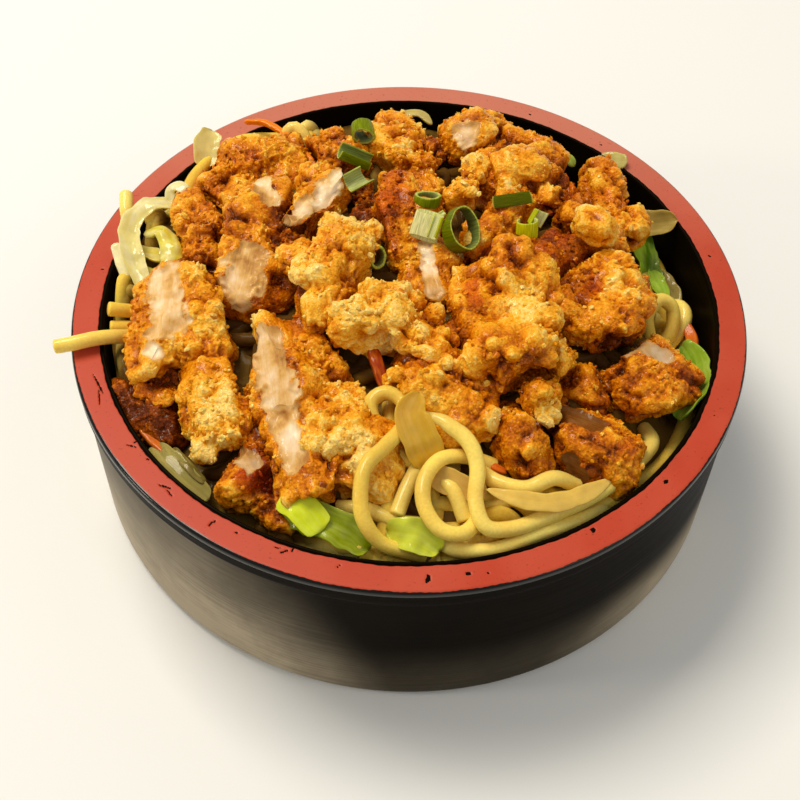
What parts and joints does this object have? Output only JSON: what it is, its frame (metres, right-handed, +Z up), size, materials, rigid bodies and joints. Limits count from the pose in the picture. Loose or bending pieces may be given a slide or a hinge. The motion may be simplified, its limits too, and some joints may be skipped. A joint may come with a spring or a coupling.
{
  "type": "yakisoba with fried chicken in a round tub",
  "caption": "Thick stir-fried noodles with cabbage, onion and carrot in a round black lacquered tub with a red rim band, heaped with crisp fried chicken and spring onion.",
  "frame": {"origin": "Middle of the tub's flat underside, on the surface that it stands on.", "axes": "+Z is up out of the tub. -Y is the side nearest a diner who sees the noodle loops in front. +X is to that diner's right."},
  "size_m": [0.1893, 0.1864, 0.0804],
  "materials": {
    "tub_lacquer": "satin",
    "noodle": "satin",
    "fried_crust": "matte",
    "pale_cabbage": "satin",
    "green_leaf": "satin",
    "onion": "satin",
    "carrot": "satin",
    "scallion": "satin"
  },
  "bodies": {
    "root": {"tub": "tub_lacquer", "chicken_mid_upper": "fried_crust", "chicken_mid_lower": "fried_crust", "chicken_front_centre": "fried_crust", "chicken_centre_fin": "fried_crust", "chicken_centre_long": "fried_crust", "chicken_back_slab": "fried_crust", "chicken_left_slice": "fried_crust", "chicken_tail_nub": "fried_crust", "chicken_right_red": "fried_crust", "chicken_right_big": "fried_crust", "chicken_centre_bits": "fried_crust", "chicken_side_nub": "fried_crust", "chicken_round_front": "fried_crust", "chicken_back_right": "fried_crust", "chicken_big_slice": "fried_crust", "chicken_left_strip": "fried_crust", "chicken_left_big": "fried_crust", "chicken_back_centre": "fried_crust", "chicken_right_narrow": "fried_crust", "chicken_back_ring": "fried_crust", "chicken_right_strip": "fried_crust", "chicken_dark_bits": "fried_crust", "chicken_front_wedge": "fried_crust", "chicken_back_left": "fried_crust", "chicken_back_small": "fried_crust", "chicken_right_front": "fried_crust", "chicken_left_front": "fried_crust", "chicken_hanging": "fried_crust", "chicken_shade_nub": "fried_crust", "chicken_left_shell": "fried_crust", "chicken_corner_slice": "fried_crust", "chicken_corner_red": "fried_crust", "chicken_shade_left": "fried_crust", "cabbage_left_outer": "pale_cabbage", "cabbage_left_rim": "pale_cabbage", "cabbage_left_curl": "pale_cabbage", "cabbage_front": "green_leaf", "cabbage_front_small": "green_leaf", "leaf_right_back": "green_leaf", "leaf_right_wall": "green_leaf", "onion_front": "onion", "onion_front_strip": "onion", "onion_right_rim": "onion", "onion_right_wall": "onion", "onion_back_left": "onion", "onion_back_right": "onion", "carrot_back": "carrot", "carrot_middle": "carrot", "carrot_right": "carrot", "carrot_left": "carrot", "scallion_ring_back": "scallion", "scallion_tube_back_a": "scallion", "scallion_tube_back_b": "scallion", "scallion_ring_middle": "scallion", "scallion_leek_middle": "scallion", "scallion_ring_right": "scallion", "scallion_strip_right": "scallion", "scallion_cut_right": "scallion", "noodles": "noodle"}
  },
  "joints": []
}
